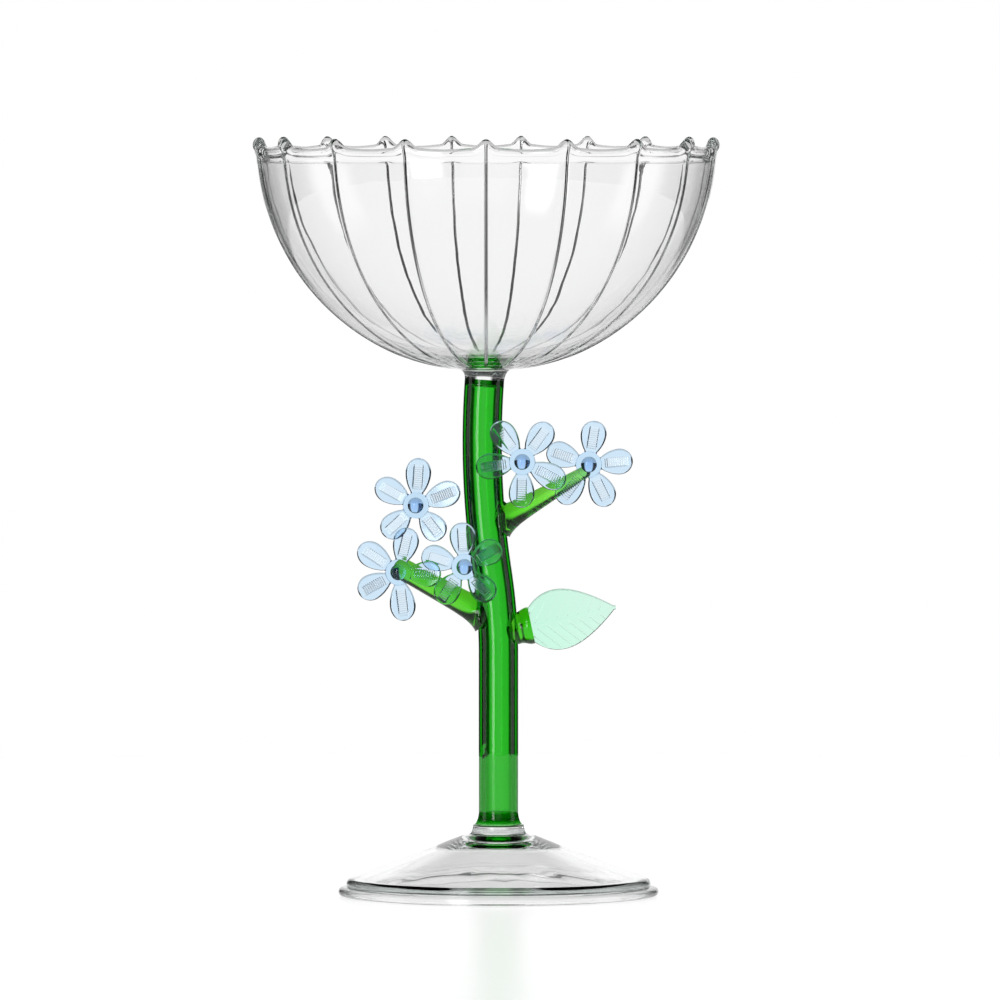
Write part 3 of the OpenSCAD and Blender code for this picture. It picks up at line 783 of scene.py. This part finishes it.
# %% Values and nodes
class Value:
    """A shader socket that can be used in an expression."""

    def __init__(self, tree, socket):
        self.tree, self.socket = tree, socket

    def maths(self, operation, *operands):
        node = self.tree.nodes.new("ShaderNodeMath")
        node.operation = operation
        for place, operand in enumerate(operands):
            feed(self.tree, node.inputs[place], operand)
        return Value(self.tree, node.outputs[0])

    def __add__(self, other): return self.maths("ADD", self, other)
    def __radd__(self, other): return self.maths("ADD", other, self)
    def __sub__(self, other): return self.maths("SUBTRACT", self, other)
    def __rsub__(self, other): return self.maths("SUBTRACT", other, self)
    def __mul__(self, other): return self.maths("MULTIPLY", self, other)
    def __rmul__(self, other): return self.maths("MULTIPLY", other, self)
    def __truediv__(self, other): return self.maths("DIVIDE", self, other)
    def __rtruediv__(self, other): return self.maths("DIVIDE", other, self)

    def power(self, other): return self.maths("POWER", self, other)
    def size(self): return self.maths("ABSOLUTE", self)
    def most(self, other): return self.maths("MAXIMUM", self, other)

    def between(self, low, high):
        """0 below low, 1 above high, and a smooth step from one to the other."""
        node = self.tree.nodes.new("ShaderNodeMapRange")
        node.interpolation_type = "SMOOTHSTEP"
        feed(self.tree, node.inputs["Value"], self)
        feed(self.tree, node.inputs["From Min"], low)
        feed(self.tree, node.inputs["From Max"], high)
        return Value(self.tree, node.outputs["Result"])


def feed(tree, socket, value):
    """Links a Value to a socket, or sets a plain value on it."""
    if isinstance(value, Value):
        tree.links.new(value.socket, socket)
    else:
        socket.default_value = value


def add_node(tree, kind, settings=None, inputs=None, output=0):
    """A node of the given type, its settings made first, then its inputs; returns one output as a Value."""
    node = tree.nodes.new(kind)
    for name, setting in (settings or {}).items():
        setattr(node, name, setting)
    for name, value in (inputs or {}).items():
        feed(tree, node.inputs[name], value)
    return Value(tree, node.outputs[output]) if len(node.outputs) else node


# %% [markdown]
# Every finish here is glass: a Principled shader that bends light, with a volume that takes some colours
# out of it. The volume makes a thick place deeper in colour than a thin one, which a tint on the surface
# can't do. Light on its way to the floor would find glass opaque, so shadow rays meet a see-through
# shader. So does every ray at a melted face, where two pieces are one body of glass and nothing bends. A
# low noise in the normal keeps the hand-made waviness of the surface.

# %% The glass recipe
GLASS_IOR = 1.47
WAVE_HEIGHT = 0.2 * MM


def glass(name, lets_through, density, wave, wave_size, shadow=1.0):
    """A glass material. lets_through is the colour that its volume keeps, and density how fast the volume
    works, in 1/m. wave is the strength of its waviness and wave_size its size in mm. shadow is the light
    that its skin lets into its shadow."""
    material = bpy.data.materials.new(name)
    material.use_nodes = True
    tree = material.node_tree
    tree.nodes.clear()
    place = add_node(tree, "ShaderNodeTexCoord", output=3)
    noise = add_node(tree, "ShaderNodeTexNoise", None, {
        "Vector": place, "Scale": 1 / (wave_size * MM), "Detail": 1.5})
    bump = add_node(tree, "ShaderNodeBump", None, {
        "Strength": wave, "Distance": wave_size * WAVE_HEIGHT, "Height": noise})
    body = add_node(tree, "ShaderNodeBsdfPrincipled", None, {
        "Base Color": (1, 1, 1, 1), "Roughness": 0.0, "IOR": GLASS_IOR, "Transmission Weight": 1.0,
        "Normal": bump})
    clear = add_node(tree, "ShaderNodeBsdfTransparent", None, {"Color": (shadow, shadow, shadow, 1)})
    is_shadow = add_node(tree, "ShaderNodeLightPath", output=1)
    melted = add_node(tree, "ShaderNodeAttribute", {"attribute_name": "melted"}, output=2)
    surface = add_node(tree, "ShaderNodeMixShader", None, {0: is_shadow.most(melted), 1: body, 2: clear})
    volume = add_node(tree, "ShaderNodeVolumeAbsorption", None, {
        "Color": (*lets_through, 1), "Density": density})
    add_node(tree, "ShaderNodeOutputMaterial", None, {"Surface": surface, "Volume": volume})
    return material


def finish_pieces(material, *starts):
    """Gives the material to every new piece whose name begins with one of the words."""
    dressed = [o for o in bpy.data.objects if o.type == "MESH" and o.name.startswith(starts)]
    for piece in dressed:
        piece.data.materials.clear()
        piece.data.materials.append(material)
    print(material.name, "on", len(dressed), "pieces")


# %% Clear glass
clear_glass = glass("clear_glass", (0.80, 0.92, 0.88), 8, wave=0.03, wave_size=14, shadow=0.96)
finish_pieces(clear_glass, "blown_bowl", "spun_foot", "foot_seal", "bowl_seal")

# %% [markdown]
# The tube is a strong green that lets almost no red or blue through its two walls. The branches and the
# knob are the same green drawn from a lighter rod, since they are solid and would look black otherwise.

# %% Green glass
stem_green = glass("stem_green", (0.055, 0.82, 0.02), 1150, wave=0.03, wave_size=10)
rod_green = glass("rod_green", (0.43, 0.90, 0.03), 700, wave=0.04, wave_size=6)
finish_pieces(stem_green, "drawn_stem")
finish_pieces(rod_green, "pulled_branch", "leaf_boss")

# %% Leaf, petal and bead glass
leaf_mint = glass("leaf_mint", (0.2, 0.96, 0.62), 520, wave=0.05, wave_size=4)
petal_blue = glass("petal_blue", (0.25, 0.68, 0.98), 470, wave=0.05, wave_size=3)
bead_blue = glass("bead_blue", (0.1, 0.5, 0.98), 430, wave=0.03, wave_size=2)
finish_pieces(leaf_mint, "pressed_leaf")
finish_pieces(petal_blue, "petal_", "disc_")
finish_pieces(bead_blue, "bead_")

# %% [markdown]
# ## Floor, light and camera
#
# The table is pale and gives off a little light of its own, as if lit from everywhere. It does so more
# strongly for rays straight from the camera, so that it joins the white backdrop without a line.

# %% Floor
FLOOR_R = 0.6
FLOOR_CORNERS = 96
FLOOR_DROP = 0.03 * MM
FLOOR_TINT = 0.5
FLOOR_GLOW = 0.55
FLOOR_GLOW_SEEN = 0.70


def grey(level):
    """An opaque grey."""
    return (level, level, level, 1)


corner = np.radians(np.arange(FLOOR_CORNERS) * 360 / FLOOR_CORNERS)
edge = np.stack([FLOOR_R * np.cos(corner), FLOOR_R * np.sin(corner), 0 * corner - FLOOR_DROP], -1)
floor_mesh = bpy.data.meshes.new("floor")
floor_mesh.from_pydata(edge.tolist(), [], [list(range(FLOOR_CORNERS))])
floor = bpy.data.objects.new("floor", floor_mesh)
bpy.context.scene.collection.objects.link(floor)
floor_material = bpy.data.materials.new("pale_floor")
floor_material.use_nodes = True
tree = floor_material.node_tree
tree.nodes.clear()
seen = add_node(tree, "ShaderNodeLightPath", output=0)
glow = add_node(tree, "ShaderNodeMix", {"data_type": "RGBA"}, {
    0: seen, 6: grey(FLOOR_GLOW), 7: grey(FLOOR_GLOW_SEEN)}, output=2)
table = add_node(tree, "ShaderNodeBsdfPrincipled", None, {
    "Base Color": grey(FLOOR_TINT), "Roughness": 0.3, "IOR": 1.45, "Emission Color": glow,
    "Emission Strength": 1.0})
add_node(tree, "ShaderNodeOutputMaterial", None, {"Surface": table})
floor_mesh.materials.append(floor_material)
print("floor:", 2 * FLOOR_R, "m across")

# %% [markdown]
# Glass shows its shape best in front of a bright window with dark on both sides. The camera sees plain
# white behind the glass, but the rays that the glass bends see a studio. A ray that is bent a little still
# lands in the window, and at the edges of each piece, where it is bent a lot, it passes the window and
# lands in the dark, which draws the outlines. The four windows stand ahead, behind the camera, where it
# is dimmer, and on the left and right, for the views from the side. A narrow bright strip on the left
# behind the camera gives the highlight along the stem, and the dark overhead draws the lines of the rim.

# %% World
DARK = 0.02
WINDOW_TURN = 0.04
WINDOW_EDGE = (0.19, 0.33)
FLANK_EDGE = (0.17, 0.30)
FLANK_LEVEL = 0.85
BEHIND_LOSS = 0.65
KEY_TURN = -0.5
KEY_EDGE = (0.05, 0.16)
KEY_LEVEL = 5.0
ROOF_EDGE = (0.42, 0.66)
world = bpy.data.worlds.new("studio")
bpy.context.scene.world = world
world.use_nodes = True
tree = world.node_tree
tree.nodes.clear()
direction = add_node(tree, "ShaderNodeTexCoord", output=0)
split = tree.nodes.new("ShaderNodeSeparateXYZ")
feed(tree, split.inputs[0], direction)
east, north, rise = (Value(tree, split.outputs[i]) for i in range(3))
level = (east * east + north * north).power(0.5).most(0.001)
window = 1 - (east / level - WINDOW_TURN).size().between(*WINDOW_EDGE)
flank = 1 - (north / level).size().between(*FLANK_EDGE)
behind = (north * -1).between(0, 0.1)
windows = (window * (1 - behind * BEHIND_LOSS)).most(flank * FLANK_LEVEL)
key = (1 - (east / level - KEY_TURN).size().between(*KEY_EDGE)) * behind * KEY_LEVEL
studio = ((windows + key) * (1 - rise.between(*ROOF_EDGE))).most(DARK)
seen = add_node(tree, "ShaderNodeLightPath", output=0)
strength = studio * (1 - seen) + seen * 1.0
backdrop = add_node(tree, "ShaderNodeBackground", None, {"Color": (1, 1, 1, 1), "Strength": strength})
add_node(tree, "ShaderNodeOutputWorld", None, {"Surface": backdrop})
print("world:", len(tree.nodes), "nodes")

# %% [markdown]
# The camera stands a little above the rim and far away, so that the glass looks nearly square on. Light
# crosses many skins of glass on its way, so each kind of bounce has a high limit.

# %% Camera
AIM = np.array([0.00036, 0.0, 0.09504])
CAMERA_DISTANCE = 3.05
CAMERA_HEIGHT = 0.205
VIEW_WIDTH = 0.24
SENSOR = 36.0
camera_data = bpy.data.cameras.new("camera")
camera = bpy.data.objects.new("camera", camera_data)
bpy.context.scene.collection.objects.link(camera)
drop = CAMERA_HEIGHT - AIM[2]
camera.location = (AIM[0], -CAMERA_DISTANCE, CAMERA_HEIGHT)
camera.rotation_euler = (np.pi / 2 - np.arctan2(drop, CAMERA_DISTANCE), 0, 0)
camera_data.dof.use_dof = False
camera_data.sensor_width = SENSOR
camera_data.lens = SENSOR * np.hypot(drop, CAMERA_DISTANCE) / VIEW_WIDTH
camera_data.clip_start = 0.1
camera_data.clip_end = 20
bpy.context.scene.camera = camera
bpy.context.scene.view_settings.view_transform = "Standard"
cycles = bpy.context.scene.cycles
cycles.max_bounces = 32
cycles.glossy_bounces = 24
cycles.transmission_bounces = 32
cycles.transparent_max_bounces = 32
print("camera lens", round(camera_data.lens, 1), "mm")
